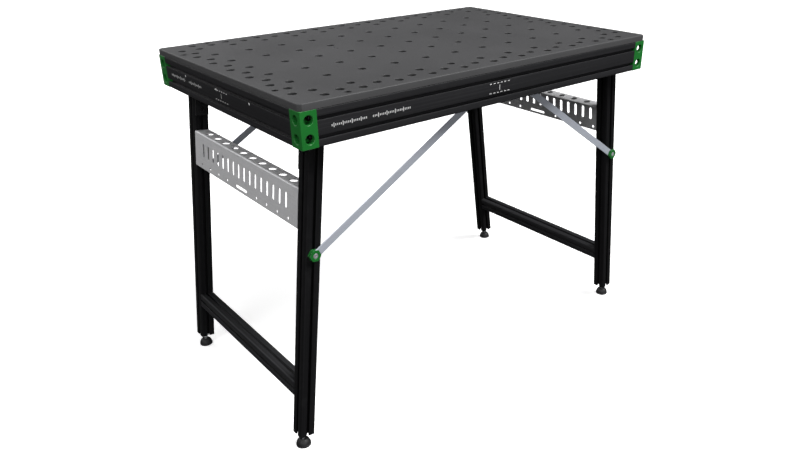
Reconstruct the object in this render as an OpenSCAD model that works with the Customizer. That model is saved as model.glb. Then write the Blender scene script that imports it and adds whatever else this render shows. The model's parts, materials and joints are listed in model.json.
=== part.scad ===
// Folding perforated-top workstation: a panel with a grid of dog holes on a frame of
// slotted aluminium profiles, and two splayed leg frames that fold up into the frame.
// X runs along the length, Y across the depth, Z up. The origin is on the floor, midway.

/* [Top panel] */
// Distance between neighbouring dog holes
hole_pitch = 96; // [92:1:100]
// Dog holes along the length
grid_cols = 11; // [11:1:13]
// Dog holes across the depth
grid_rows = 7; // [7:1:9]
// Outermost grid holes to the edge of the panel
grid_margin = 82; // [80:1:90]
// Diameter of a dog hole
dog_d = 20; // [19:0.1:20.2]
// Thickness of the panel
panel_t = 16; // [15:1:19]
// Legs of the cut across each upright corner of the panel
corner_cut = 8; // [4:1:12]

/* [Frame] */
// Height of the working surface above the floor
work_h = 890; // [870:5:920]
// Width of one profile module, and of a leg
unit = 40; // [40:1:40]
// Width of the mouth of a T-slot
slot_mouth = 8.2; // [8:0.1:8.6]

/* [Legs] */
// Outward lean of the legs when they stand open, in degrees
splay = 7.3; // [6.5:0.1:7.5]
// Centre of a foot's ball to the middle of the table, along the length
foot_x = 597; // [590:1:604]
// Centre plane of a leg to the middle of the table, across the depth
leg_y = 298; // [296:1:298]
// Left pivot below the panel: its legs fold into the lower layer
low_drop = 64; // [63:0.5:66]
// Right pivot below the panel: its legs fold into the upper layer
high_drop = 22; // [21.5:0.5:22]
// Height of the leg's cut end above the floor
leg_end_z = 36; // [36:1:40]
// Height of the middle of the cross rail above the floor
cross_z = 161; // [120:1:240]
// Height of the top of the tool channel above the floor
channel_z = 677; // [640:1:690]
// Height of the tool channel's web
channel_h = 96; // [70:1:110]

/* [Braces] */
// Height of the brace's lower pivot above the floor
boss_z = 530; // [510:5:540]
// Distance between a brace's two eyes
brace_l = 576; // [560:1:580]
// Width of the flat bar
brace_w = 19; // [16:1:20]

/* [Feet] */
// Diameter of a levelling foot's base
foot_d = 38; // [34:1:39]
// Height of a levelling foot's base
foot_h = 20; // [19:0.5:20]

/* [Hidden] */

LEFT = -1;
RIGHT = 1;
FRONT = -1;
BACK = 1;
ENDS = [-1, 1];

// Gap between pieces that slide or turn past each other
run_gap = 0.4;
// Gap between a shaft and the hole it turns in, on the radius
fit_gap = 0.05;
// Overshoot of a cutting shape past the face that it cuts
over = 1;
// Sides of a round hole or shaft
ROUND = 48;

// Outline of the panel and of the frame under it
top_l = (grid_cols - 1) * hole_pitch + 2 * grid_margin;
top_w = (grid_rows - 1) * hole_pitch + 2 * grid_margin;
panel_z = work_h - panel_t;
rail_h = 2 * unit;
rail_z = panel_z - rail_h;
edge_bevel = 2.5;
edge_row = hole_pitch / 2;
stagger_row = hole_pitch / 3;
screw_inset = hole_pitch / 2;
insert_d = 5;
insert_far = [200, 50];
insert_near = [78, -34];
insert_step = 16;

// T-slot of the profiles
profile_bevel = 2.5;
lip_t = 4.5;
slot_depth = 12;
cavity_w = 20;
cavity_floor_w = 10;
cavity_wall = 7;
mouth_bevel = 1;
core_r = 3.4;
corner_cell = 6.5;
corner_cell_at = 14.6;
chamber = [13, 20];
low_slot_z = rail_z + unit / 2;
high_slot_z = low_slot_z + unit;

// Corner blocks and their bolts
access_r = 10.5;
block_wall = 5;
block_bevel = 2;
bolt_r = 4;
bolt_head_r = 6.2;
bolt_head_h = 8;
bolt_l = 30;
key_r = 3.4;
key_depth = 4.5;
button_r = 6.6;
button_h = 4.2;

// Nut that sits in the cavity of a T-slot
nut_w = 13;
nut_t = 4.2;
nut_l = 16;

// Pivots
rail_face = top_w / 2 - unit;
leg_face = leg_y + unit / 2;
leg_inner = leg_y - unit / 2;
pin_r = 6;
pin_flange_r = 12;
pin_nut_r = 11;
pin_nut_h = 7;
plate_t = 5;
plate_w = 54;
plate_h = 72;
plate_bolt_dx = 19;
tongue_t = 5;
tongue_w = 36;
tongue_l = 92;
tongue_bolts = [52, 78];
knuckle_l = 26;
stop_r = 5.5;
stop_gap = 5.2;
stop_z = rail_z + 8.7;

// Tool channel
sheet = 2;
bend_r = 4;
bend_steps = 6;
shelf_holes = 10;
shelf_pitch = 50;
shelf_d = 20;
web_hole_d = 8;
web_hole_first = 80;
web_hole_pitch = 52;
web_hole_count = 4;
web_hole_up = 11;
web_slot = [62, 8];
vent_count = 16;
vent_pitch = 30;
vent = [10, 38];
vent_up = 52;
tab_w = 34;
tab_h = 70;
tab_down = 14;
tab_bolts = [30, 68];

// Braces
brace_t = 3;
eye_r = 11;
sleeve_r = 5;
hex_r = 15;
screw_head_r = 6.5;
screw_head_h = 2.4;
stud_r = 6;
tip_head_r = 7;
tip_head_h = [1.6, 3];
slider_l = 40;
slider_w = 14;
slider_t = 4.5;
neck_w = 7.4;
left_brace_y = rail_face - 6.6;
right_brace_y = leg_face + run_gap;

// Feet
ball_z = 10;
ball_r = 6;
ball_gap = 0.08;
foot_rim = 5;
foot_shoulder = [[2, 10], [5.5, 15.5]];
foot_top_r = 9;
foot_neck_r = 4;
foot_mouth_r = [5.5, 7.3];
stud_thread_r = 5.2;
stud_l = 84;
stud_bore_l = 84;
foot_nut_h = 6;
foot_nut_r = 9.8;
foot_neck_l = 13;

// Place of a leg frame's pivot, and distances along a leg from that pivot
function pivot_z(side) = panel_z - (side == LEFT ? low_drop : high_drop);
function pivot_x(side) = foot_x - (pivot_z(side) - ball_z) * tan(splay);
function along_leg(side, z) = (pivot_z(side) - z) / cos(splay);
// Lower pivot of a brace, the slot that its slider runs in, and the slider's place
function boss_x(side) = pivot_x(side) + (pivot_z(side) - boss_z) * tan(splay);
function slider_z(side) = side == LEFT ? low_slot_z : high_slot_z;
function brace_rise(side) = asin((slider_z(side) - boss_z) / brace_l);
function slider_x(side) = side * (boss_x(side) - brace_l * cos(brace_rise(side)));
function brace_y(side) = side == LEFT ? left_brace_y : right_brace_y;

// Points of an upright slot with round ends
function slot_points(w, h, steps = 8) = [
    for (end = [0, 1])
        for (i = [0 : steps])
            let (a = 180 * end + 180 * i / steps)
                [w / 2 * cos(a), w / 2 * sin(a) + (1 - 2 * end) * (h - w) / 2]
];

// ---------- shared shapes ----------

// Rectangle with its corners cut at 45 degrees
module bevelled_rect(w, h, b) {
    polygon([
        [-w / 2 + b, -h / 2], [w / 2 - b, -h / 2], [w / 2, -h / 2 + b], [w / 2, h / 2 - b],
        [w / 2 - b, h / 2], [-w / 2 + b, h / 2], [-w / 2, h / 2 - b], [-w / 2, -h / 2 + b]
    ]);
}

// Section of a T-slot that opens towards +Y, with its mouth at the origin
module tee_slot() {
    half_m = slot_mouth / 2;
    half_c = cavity_w / 2;
    half_f = cavity_floor_w / 2;
    flare = half_m + mouth_bevel + over;
    polygon([
        [-flare, over], [-half_m, -mouth_bevel], [-half_m, -lip_t], [-half_c, -lip_t],
        [-half_c, -cavity_wall], [-half_f, -slot_depth], [half_f, -slot_depth],
        [half_c, -cavity_wall], [half_c, -lip_t], [half_m, -lip_t],
        [half_m, -mouth_bevel], [flare, over]
    ]);
}

// Section of a profile that is one unit wide and count units high
module profile_section(count) {
    h = count * unit;
    difference() {
        bevelled_rect(unit, h, profile_bevel);
        for (up = ENDS)
            translate([0, up * h / 2]) rotate(up == 1 ? 0 : 180) tee_slot();
        for (i = [0 : count - 1]) {
            translate([0, (i + 0.5) * unit - h / 2]) {
                circle(r = core_r, $fn = ROUND);
                for (s = ENDS)
                    translate([s * unit / 2, 0]) rotate(-90 * s) tee_slot();
            }
        }
        for (s = ENDS, up = ENDS)
            translate([s * corner_cell_at, up * (h / 2 - unit / 2 + corner_cell_at)])
                square(corner_cell, center = true);
        if (count > 1)
            square(chamber, center = true);
    }
}

// Profile that runs from z = 0 to z = length
module profile(length, count = 1) {
    linear_extrude(height = length) profile_section(count);
}

// Cylinder between two distances along -Y or +Y, on the side of the table that end names
module across(end, y_in, y_out, r, sides = ROUND) {
    rotate([-90 * end, 0, 0])
        translate([0, 0, y_in]) cylinder(r = r, h = y_out - y_in, $fn = sides);
}

// Block between two distances across the table, w along X and h along Z
module across_block(end, y_in, y_out, w, h) {
    y = end * (y_in + y_out) / 2;
    translate([0, y, 0]) cube([w, y_out - y_in, h], center = true);
}

// Socket screw: its head sits on z = 0 and its shank runs down
module socket_screw(head_r, head_h, shank_l, shank_r = bolt_r) {
    difference() {
        cylinder(r = head_r, h = head_h, $fn = ROUND);
        translate([0, 0, head_h - min(key_depth, head_h - 1)])
            cylinder(r = key_r, h = key_depth + over, $fn = 6);
    }
    translate([0, 0, -shank_l]) cylinder(r = shank_r, h = shank_l + 0.01, $fn = ROUND);
}

// Nut for a T-slot: its upper face lies on z = 0
module slot_nut(shank_r = bolt_r) {
    translate([0, 0, -nut_t]) difference() {
        translate([-nut_l / 2, -nut_w / 2, 0]) cube([nut_l, nut_w, nut_t]);
        translate([0, 0, -over]) cylinder(r = shank_r + fit_gap, h = nut_t + 2 * over, $fn = ROUND);
    }
}

// Space of a leg frame: the pivot is the origin and the leg hangs along -Z
module leg_space(side) {
    translate([side * pivot_x(side), 0, pivot_z(side)])
        rotate([0, -side * splay, 0]) children();
}

// ---------- top ----------

module dog_holes() {
    mid_c = (grid_cols - 1) / 2;
    mid_r = (grid_rows - 1) / 2;
    for (c = [0 : grid_cols - 1], r = [0 : grid_rows - 1])
        dog_hole((c - mid_c) * hole_pitch, (r - mid_r) * hole_pitch);
    for (s = ENDS) {
        for (c = [0 : grid_cols - 1])
            dog_hole((c - mid_c) * hole_pitch, s * (mid_r * hole_pitch + edge_row));
        for (c = [0 : grid_cols - 2])
            dog_hole((c + 0.5 - mid_c) * hole_pitch, s * (mid_r * hole_pitch + stagger_row));
        for (r = [0 : grid_rows - 1])
            dog_hole(s * (mid_c * hole_pitch + edge_row), (r - mid_r) * hole_pitch);
        for (r = [0 : grid_rows - 2])
            dog_hole(s * (mid_c * hole_pitch + stagger_row), (r + 0.5 - mid_r) * hole_pitch);
    }
}

module dog_hole(x, y) {
    translate([x, y, panel_z - over]) cylinder(d = dog_d, h = panel_t + 2 * over, $fn = ROUND);
}

// Places of the screws that hold the panel, over the middle of each rail
module at_panel_screws() {
    x_long = (grid_cols - 1) * hole_pitch / 2 - screw_inset;
    y_short = (grid_rows - 1) * hole_pitch / 2 - screw_inset;
    for (s = ENDS, t = ENDS) {
        translate([s * x_long, t * (top_w - unit) / 2, work_h]) children();
        translate([s * (top_l - unit) / 2, t * y_short, work_h]) rotate(90) children();
    }
}

module top_panel() {
    color("dimgray") difference() {
        translate([0, 0, panel_z]) linear_extrude(height = panel_t)
            bevelled_rect(top_l, top_w, corner_cut);
        for (s = ENDS) {
            translate([s * top_l / 2, 0, work_h]) edge_cutter(top_w);
            translate([0, s * top_w / 2, work_h]) rotate(90) edge_cutter(top_l);
        }
        dog_holes();
        at_panel_screws() {
            translate([0, 0, -panel_t - over])
                cylinder(r = bolt_r + 0.2, h = panel_t + 2 * over, $fn = ROUND);
            translate([0, 0, -4.2])
                cylinder(r1 = bolt_r + 0.2, r2 = bolt_r + 4.4, h = 4.2 + 0.01, $fn = ROUND);
        }
        for (s = ENDS) {
            for (k = [0, 1])
                insert_hole(s * insert_far[0], insert_far[1] + k * insert_step);
            insert_hole(s * insert_near[0], insert_near[1]);
        }
    }
}

// Bar along Y that cuts the bevel of an upper edge
module edge_cutter(length) {
    side = edge_bevel * sqrt(2);
    rotate([0, 45, 0]) cube([side, length + 2 * over, side], center = true);
}

module insert_hole(x, y) {
    translate([x, y, panel_z - over]) cylinder(d = insert_d, h = panel_t + 2 * over, $fn = ROUND);
}

module panel_screws() {
    color("#1c1c1c") at_panel_screws() {
        translate([0, 0, -4.4]) difference() {
            cylinder(r1 = bolt_r, r2 = bolt_r + 4, h = 4, $fn = ROUND);
            translate([0, 0, 1.6]) cylinder(r = 2.6, h = 4, $fn = 6);
        }
        translate([0, 0, -panel_t - 10]) cylinder(r = bolt_r - 0.1, h = panel_t + 5.7, $fn = ROUND);
        translate([0, 0, -panel_t - lip_t - 0.1]) slot_nut(bolt_r - 0.1);
    }
}

// ---------- frame ----------

module long_rail(end) {
    length = top_l - 2 * unit;
    color("#242426")
        translate([-length / 2, end * (top_w - unit) / 2, rail_z + rail_h / 2])
            rotate([90, 0, 90]) difference() {
                profile(length, 2);
                for (s = ENDS)
                    translate([0, s * unit / 2, 0]) end_bores(length);
            }
}

module short_rail(side) {
    length = top_w - 2 * unit;
    color("#242426")
        translate([side * (top_l - unit) / 2, length / 2, rail_z + rail_h / 2])
            rotate([90, 0, 0]) difference() {
                profile(length, 2);
                for (s = ENDS)
                    translate([0, s * unit / 2, 0]) end_bores(length);
            }
}

// Widened core at both ends of a profile, for the bolt that enters there
module end_bores(length) {
    for (z = [-over, length - bolt_l])
        translate([0, 0, z]) cylinder(r = bolt_r + fit_gap, h = bolt_l + over, $fn = ROUND);
}

// Space of a corner block: its middle at the bottom is the origin
module at_corner(side, end) {
    translate([side * (top_l - unit) / 2, end * (top_w - unit) / 2, rail_z]) children();
}

// Corner block with its deep access holes, which leave a wall against each rail
module corner_block(side, end) {
    b = block_bevel;
    h = unit / 2;
    color("#2a8a35") at_corner(side, end) difference() {
        linear_extrude(height = rail_h)
            polygon([
                [-side * h, -end * h], [side * h, -end * h], [side * h, end * (h - b)],
                [side * (h - b), end * h], [-side * h, end * h]
            ]);
        for (k = [0, 1]) translate([0, 0, (k + 0.5) * unit]) {
            rotate([0, 90 * side, 0]) access_hole();
            rotate([-90 * end, 0, 0]) access_hole();
        }
    }
}

// Hole from the outer face at +Z down to the wall, and the bolt's hole through the wall
module access_hole() {
    translate([0, 0, -unit / 2 + block_wall])
        cylinder(r = access_r, h = unit, $fn = ROUND);
    translate([0, 0, -unit / 2 - over])
        cylinder(r = bolt_r + 0.3, h = unit, $fn = ROUND);
}

module corner_bolts() {
    color("#1c1c1c")
        for (side = ENDS, end = ENDS, k = [0, 1])
            at_corner(side, end) translate([0, 0, (k + 0.5) * unit]) {
                rotate([0, 90 * side, 0]) corner_bolt();
                rotate([-90 * end, 0, 0]) corner_bolt();
            }
}

module corner_bolt() {
    translate([0, 0, -unit / 2 + block_wall])
        socket_screw(bolt_head_r, bolt_head_h, block_wall + bolt_l - 4);
}

// ---------- leg pivots on the frame ----------

module at_pivots() {
    for (side = ENDS, end = ENDS)
        translate([side * pivot_x(side), 0, 0]) {
            $side = side;
            $end = end;
            children();
        }
}

// Places of a plate's four bolts, on the middle lines of the two slots
module at_plate_bolts() {
    for (dx = ENDS, z = [low_slot_z, high_slot_z])
        translate([dx * plate_bolt_dx, 0, z]) children();
}

module pivot_plates() {
    mid_z = rail_z + rail_h / 2;
    color("#2b2b2d") at_pivots() difference() {
        translate([0, 0, mid_z])
            across_block($end, rail_face - plate_t, rail_face, plate_w, plate_h);
        translate([0, 0, pivot_z($side)])
            across($end, rail_face - plate_t - over, rail_face + over, pin_r + fit_gap);
        at_plate_bolts()
            across($end, rail_face - plate_t - over, rail_face + over, bolt_r + 0.2);
    }
}

module pivot_plate_bolts() {
    color("#1c1c1c") at_pivots() at_plate_bolts() {
        rotate([90 * $end, 0, 0]) translate([0, 0, -rail_face + plate_t])
            socket_screw(button_r, button_h, plate_t + 10, bolt_r - 0.1);
        rotate([90 * $end, 0, 0]) translate([0, 0, -rail_face - lip_t - 0.1])
            slot_nut(bolt_r - 0.1);
    }
}

// Shoulder pin: flange against the plate, shank through the knuckle, nut inside
module pivot_pins() {
    nut_y = leg_inner - tongue_t - run_gap;
    color("silver") at_pivots() translate([0, 0, pivot_z($side)]) {
        across($end, nut_y - pin_nut_h - 3, rail_face, pin_r);
        across($end, leg_face + run_gap, rail_face - plate_t, pin_flange_r);
        across($end, nut_y - pin_nut_h, nut_y, pin_nut_r, 6);
    }
}

// Rubber pads on the end rails, where an open leg comes to rest
module leg_stops() {
    color("#161616")
        for (side = ENDS, end = ENDS)
            translate([side * (top_l / 2 - unit - stop_gap), end * leg_y, stop_z])
                rotate([0, 90 * side, 0]) cylinder(r = stop_r, h = stop_gap, $fn = ROUND);
}

// ---------- leg frames ----------

module leg(side, end) {
    length = along_leg(side, leg_end_z);
    color("#141416") leg_space(side) translate([0, end * leg_y, 0]) difference() {
        translate([0, 0, -length]) profile(length - knuckle_l);
        translate([0, 0, -length - over])
            cylinder(r = stud_thread_r + fit_gap, h = stud_bore_l + over, $fn = ROUND);
        translate([0, -end * leg_y, -along_leg(side, cross_z)])
            across(end, leg_inner + slot_depth - over, leg_face, core_r);
    }
}

// Round-ended hinge block on top of each leg, with a tongue down the leg's inner face
module knuckles(side) {
    r = unit / 2;
    y_in = leg_inner - tongue_t;
    color("#2b2b2d") leg_space(side)
        for (end = ENDS) difference() {
            union() {
                across(end, y_in, leg_face, r);
                translate([0, 0, -knuckle_l / 2])
                    across_block(end, y_in, leg_face, unit - 0.02, knuckle_l);
                translate([0, 0, -tongue_l / 2])
                    across_block(end, y_in, leg_inner, tongue_w, tongue_l);
            }
            across(end, y_in - over, leg_face + over, pin_r + fit_gap);
            for (d = tongue_bolts)
                translate([0, 0, -d]) across(end, y_in - over, leg_inner + over, bolt_r + 0.2);
        }
}

// Screw through a piece of thickness t on the leg's inner face, with its slot nut
module inner_face_screw(end, t) {
    rotate([90 * end, 0, 0]) translate([0, 0, -leg_inner + t])
        socket_screw(button_r, button_h, t + 10, bolt_r - 0.1);
    rotate([90 * end, 0, 0]) translate([0, 0, -leg_inner - lip_t - 0.1])
        rotate(90) slot_nut(bolt_r - 0.1);
}

module knuckle_bolts(side) {
    color("#1c1c1c") leg_space(side)
        for (end = ENDS, d = tongue_bolts)
            translate([0, 0, -d]) inner_face_screw(end, tongue_t);
}

module cross_rail(side) {
    length = 2 * leg_inner;
    color("#141416") leg_space(side)
        translate([0, length / 2, -along_leg(side, cross_z)]) rotate([90, 0, 0])
            difference() {
                profile(length);
                end_bores(length);
            }
}

// Bolt whose head sits in the leg's inner slot and whose shank enters the cross rail
module cross_bolts(side) {
    color("#1c1c1c") leg_space(side)
        for (end = ENDS)
            translate([0, 0, -along_leg(side, cross_z)]) {
                across(end, leg_inner - bolt_l + 4, leg_inner + lip_t + 0.1, bolt_r);
                difference() {
                    across(end, leg_inner + lip_t + 0.1, leg_inner + lip_t + 4.6, bolt_head_r);
                    across(end, leg_inner + lip_t + 2, leg_inner + slot_depth, key_r, 6);
                }
            }
}

// Section of the channel: web at x = 0, shelf towards +X, top at y = 0
module channel_section(h) {
    polygon(concat(
        [[sheet, -h], [0, -h]],
        [for (i = [0 : bend_steps])
            let (a = 180 - 90 * i / bend_steps)
                [bend_r + bend_r * cos(a), -bend_r + bend_r * sin(a)]],
        [[unit, 0], [unit, -sheet], [sheet, -sheet]]
    ));
}

module tool_channel(side) {
    top = -along_leg(side, channel_z);
    length = 2 * leg_inner;
    outer = side * unit / 2;
    color("#8a8a90") leg_space(side) translate([0, 0, top]) difference() {
        union() {
            translate([outer, length / 2, 0]) rotate([90, 0, 0])
                linear_extrude(height = length)
                    mirror([side == RIGHT ? 1 : 0, 0]) channel_section(channel_h);
            for (end = ENDS)
                translate([outer - side * (tab_w / 2 + 0.5), 0, -tab_down - tab_h / 2])
                    across_block(end, leg_inner - sheet, leg_inner, tab_w, tab_h);
        }
        shelf_cuts();
        web_cuts(outer, side);
        for (end = ENDS, d = tab_bolts)
            translate([0, 0, -d])
                across(end, leg_inner - sheet - over, leg_inner + over, bolt_r + 0.2);
    }
}

module shelf_cuts() {
    for (i = [0 : shelf_holes - 1])
        translate([0, (i - (shelf_holes - 1) / 2) * shelf_pitch, -sheet - over])
            cylinder(d = shelf_d, h = sheet + 2 * over, $fn = ROUND);
}

module web_cuts(outer, side) {
    translate([outer, 0, -channel_h]) rotate([90, 0, 90])
        translate([0, 0, -sheet - over]) linear_extrude(height = 2 * (sheet + over)) {
            for (s = ENDS, i = [0 : web_hole_count - 1])
                translate([s * (web_hole_first + i * web_hole_pitch), web_hole_up])
                    circle(d = web_hole_d, $fn = ROUND);
            translate([0, web_hole_up])
                rotate(90) polygon(slot_points(web_slot[1], web_slot[0]));
            for (i = [0 : vent_count - 1])
                translate([(i - (vent_count - 1) / 2) * vent_pitch, vent_up])
                    polygon(slot_points(vent[0], vent[1]));
        }
}

module channel_bolts(side) {
    color("silver") leg_space(side) translate([0, 0, -along_leg(side, channel_z)])
        for (end = ENDS, d = tab_bolts)
            translate([0, 0, -d]) inner_face_screw(end, sheet);
}

module foot_nuts(side) {
    color("silver") leg_space(side)
        for (end = ENDS)
            translate([0, end * leg_y, -along_leg(side, leg_end_z) - foot_nut_h]) difference() {
                cylinder(r = foot_nut_r, h = foot_nut_h, $fn = 6);
                translate([0, 0, -over])
                    cylinder(r = stud_thread_r + fit_gap, h = foot_nut_h + 2 * over, $fn = ROUND);
            }
}

// Green hexagonal boss: a spacer and a sleeve for the brace's eye, and a cap over them
module brace_bosses(side) {
    y = brace_y(side);
    cap_y = y + brace_t + run_gap;
    rim_y = rail_face - 0.6;
    color("#2a8a35") leg_space(side) translate([0, 0, -along_leg(side, boss_z)])
        for (end = ENDS) {
            difference() {
                union() {
                    across(end, leg_face, cap_y - fit_gap, sleeve_r);
                    if (side == LEFT)
                        across(end, leg_face, y - run_gap, hex_r, 6);
                }
                across(end, leg_face - over, cap_y + over, bolt_r + 0.1);
            }
            difference() {
                across(end, cap_y, rim_y, hex_r, 6);
                across(end, cap_y - over, rim_y + over, bolt_r + 0.1);
                across(end, rim_y - screw_head_h, rim_y + over, screw_head_r + 0.1);
            }
        }
}

// Bright screw through each boss into a nut in the leg's outer slot
module brace_bolts(side) {
    rim_y = rail_face - 0.6;
    nut_y = leg_face - lip_t - 0.1;
    color("silver") leg_space(side) translate([0, 0, -along_leg(side, boss_z)])
        for (end = ENDS) {
            difference() {
                across(end, rim_y - screw_head_h, rim_y - 0.1, screw_head_r);
                across(end, rim_y - screw_head_h + 0.8, rim_y + over, key_r, 6);
            }
            across(end, leg_face - 11, rim_y - screw_head_h + 0.01, bolt_r);
            rotate([-90 * end, 0, 0]) translate([0, 0, nut_y]) rotate(90) slot_nut();
        }
}

// ---------- braces and sliders ----------

// Space of a brace: the boss is the origin and the bar runs along +X
module brace_space(side) {
    translate([side * boss_x(side), 0, boss_z]) mirror([side == RIGHT ? 1 : 0, 0, 0])
        rotate([0, -brace_rise(side), 0]) children();
}

module brace(side, end) {
    y = brace_y(side);
    color("#a9adb6") brace_space(side) difference() {
        union() {
            translate([brace_l / 2, 0, 0]) across_block(end, y, y + brace_t, brace_l, brace_w);
            across(end, y, y + brace_t, eye_r);
            translate([brace_l, 0, 0]) across(end, y, y + brace_t, eye_r);
        }
        across(end, y - over, y + brace_t + over, sleeve_r + fit_gap);
        translate([brace_l, 0, 0]) across(end, y - over, y + brace_t + over, bolt_r + fit_gap);
    }
}

// Screw in the upper eye of a brace, with its head towards the middle of the table
module tip_bolt(side, end) {
    y = brace_y(side);
    head_h = side == LEFT ? tip_head_h[0] : tip_head_h[1];
    color("silver") brace_space(side) translate([brace_l, 0, 0]) {
        difference() {
            across(end, y - head_h, y, tip_head_r);
            across(end, y - head_h - over, y - 0.8, key_r - 0.4, 6);
        }
        across(end, y - 0.01, y + brace_t, bolt_r);
    }
}

// Shoe that slides in the long rail's inner slot, with a stud that ends at the brace
module slider(side, end) {
    shoe_y = rail_face + lip_t + run_gap;
    tip_y = brace_y(side) + brace_t + run_gap;
    color("#2b2b2d") translate([slider_x(side), 0, slider_z(side)]) {
        across_block(end, shoe_y, shoe_y + slider_t, slider_l, slider_w);
        across_block(end, rail_face - run_gap - 0.01, shoe_y + 0.01, slider_l, neck_w);
        across(end, tip_y, rail_face - run_gap, stud_r);
    }
}

// ---------- feet ----------

// Space of a foot: the centre of the ball is the origin and the stud runs up along +Z
module foot_space(side, end) {
    translate([side * foot_x, end * leg_y, ball_z]) rotate([0, -side * splay, 0]) children();
}

module foot_stud(side, end) {
    color("silver") foot_space(side, end) {
        sphere(r = ball_r, $fn = ROUND);
        cylinder(r = foot_neck_r, h = foot_neck_l, $fn = ROUND);
        translate([0, 0, foot_neck_l - 0.01])
            cylinder(r = stud_thread_r, h = stud_l - foot_neck_l, $fn = ROUND);
    }
}

// Domed base that swivels on the ball
module foot_base(side, end) {
    r = foot_d / 2;
    mouth_z = ball_z + sqrt(ball_r * ball_r - foot_mouth_r[0] * foot_mouth_r[0]);
    color("#2d2d2d") translate([side * foot_x, end * leg_y, 0]) difference() {
        rotate_extrude($fn = ROUND)
            polygon([
                [0, 0], [r - 1, 0], [r, 1], [r, foot_rim],
                for (s = foot_shoulder) [r - s[0], s[1]],
                [foot_top_r, foot_h], [0, foot_h]
            ]);
        translate([0, 0, ball_z]) sphere(r = ball_r + ball_gap, $fn = ROUND);
        translate([0, 0, ball_z]) cylinder(r = foot_mouth_r[0], h = foot_h, $fn = ROUND);
        translate([0, 0, mouth_z])
            cylinder(r1 = foot_mouth_r[0], r2 = foot_mouth_r[1], h = foot_h - mouth_z + 0.01, $fn = ROUND);
    }
}

top_panel();
panel_screws();
long_rail(FRONT);  // front_rail
long_rail(BACK);  // back_rail
short_rail(LEFT);  // left_rail
short_rail(RIGHT);  // right_rail
corner_block(LEFT, FRONT);  // front_left_corner
corner_block(RIGHT, FRONT);  // front_right_corner
corner_block(LEFT, BACK);  // back_left_corner
corner_block(RIGHT, BACK);  // back_right_corner
corner_bolts();
pivot_plates();
pivot_plate_bolts();
pivot_pins();
leg_stops();
leg(LEFT, FRONT);  // left_front_leg
leg(LEFT, BACK);  // left_back_leg
knuckles(LEFT);  // left_knuckles
knuckle_bolts(LEFT);  // left_knuckle_bolts
cross_rail(LEFT);  // left_cross_rail
cross_bolts(LEFT);  // left_cross_bolts
tool_channel(LEFT);  // left_tool_channel
channel_bolts(LEFT);  // left_channel_bolts
foot_nuts(LEFT);  // left_foot_nuts
brace_bosses(LEFT);  // left_brace_bosses
brace_bolts(LEFT);  // left_brace_bolts
leg(RIGHT, FRONT);  // right_front_leg
leg(RIGHT, BACK);  // right_back_leg
knuckles(RIGHT);  // right_knuckles
knuckle_bolts(RIGHT);  // right_knuckle_bolts
cross_rail(RIGHT);  // right_cross_rail
cross_bolts(RIGHT);  // right_cross_bolts
tool_channel(RIGHT);  // right_tool_channel
channel_bolts(RIGHT);  // right_channel_bolts
foot_nuts(RIGHT);  // right_foot_nuts
brace_bosses(RIGHT);  // right_brace_bosses
brace_bolts(RIGHT);  // right_brace_bolts
brace(LEFT, FRONT);  // left_front_brace
brace(LEFT, BACK);  // left_back_brace
brace(RIGHT, FRONT);  // right_front_brace
brace(RIGHT, BACK);  // right_back_brace
tip_bolt(LEFT, FRONT);  // left_front_tip_bolt
tip_bolt(LEFT, BACK);  // left_back_tip_bolt
tip_bolt(RIGHT, FRONT);  // right_front_tip_bolt
tip_bolt(RIGHT, BACK);  // right_back_tip_bolt
slider(LEFT, FRONT);  // left_front_slider
slider(LEFT, BACK);  // left_back_slider
slider(RIGHT, FRONT);  // right_front_slider
slider(RIGHT, BACK);  // right_back_slider
foot_stud(LEFT, FRONT);  // left_front_foot_stud
foot_stud(LEFT, BACK);  // left_back_foot_stud
foot_stud(RIGHT, FRONT);  // right_front_foot_stud
foot_stud(RIGHT, BACK);  // right_back_foot_stud
foot_base(LEFT, FRONT);  // left_front_foot_base
foot_base(LEFT, BACK);  // left_back_foot_base
foot_base(RIGHT, FRONT);  // right_front_foot_base
foot_base(RIGHT, BACK);  // right_back_foot_base
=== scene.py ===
"""Looks of a folding perforated-top workstation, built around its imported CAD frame."""

import json
import math

import bmesh
import bpy
from mathutils import Matrix, Vector


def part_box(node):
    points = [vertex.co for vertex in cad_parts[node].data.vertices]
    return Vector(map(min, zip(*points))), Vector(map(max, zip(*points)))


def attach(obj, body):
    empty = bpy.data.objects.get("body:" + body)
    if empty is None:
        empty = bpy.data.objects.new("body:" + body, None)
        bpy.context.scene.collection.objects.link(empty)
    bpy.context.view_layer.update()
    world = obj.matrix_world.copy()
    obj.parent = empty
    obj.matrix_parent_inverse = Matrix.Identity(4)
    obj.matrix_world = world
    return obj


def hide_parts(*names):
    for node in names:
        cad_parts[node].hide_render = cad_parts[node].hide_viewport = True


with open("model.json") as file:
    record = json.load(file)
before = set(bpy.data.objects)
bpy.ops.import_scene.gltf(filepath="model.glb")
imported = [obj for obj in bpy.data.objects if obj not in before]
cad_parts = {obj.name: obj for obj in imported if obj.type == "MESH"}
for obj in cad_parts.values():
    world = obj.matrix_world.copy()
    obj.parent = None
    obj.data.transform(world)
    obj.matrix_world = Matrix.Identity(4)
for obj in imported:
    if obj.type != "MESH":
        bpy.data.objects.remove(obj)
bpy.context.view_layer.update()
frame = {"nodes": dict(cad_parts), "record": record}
nodes = frame["nodes"]
record = frame["record"]
slot_of = {part["node"]: part["material_slot"] for part in record["subparts"]}
body_of = {n: body for body, names in record["behaviour"]["bodies"].items() for n in names}
joint = {j["name"]: j for j in record["behaviour"]["joints"]}

MM = 0.001
SIDES = {"left": -1, "right": 1}
ENDS = {"front": -1, "back": 1}
foot_axis = Vector(joint["right_front_foot_level"]["axis"])
SPLAY = math.atan2(foot_axis.x, -foot_axis.z)


# ---------- materials ----------

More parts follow.
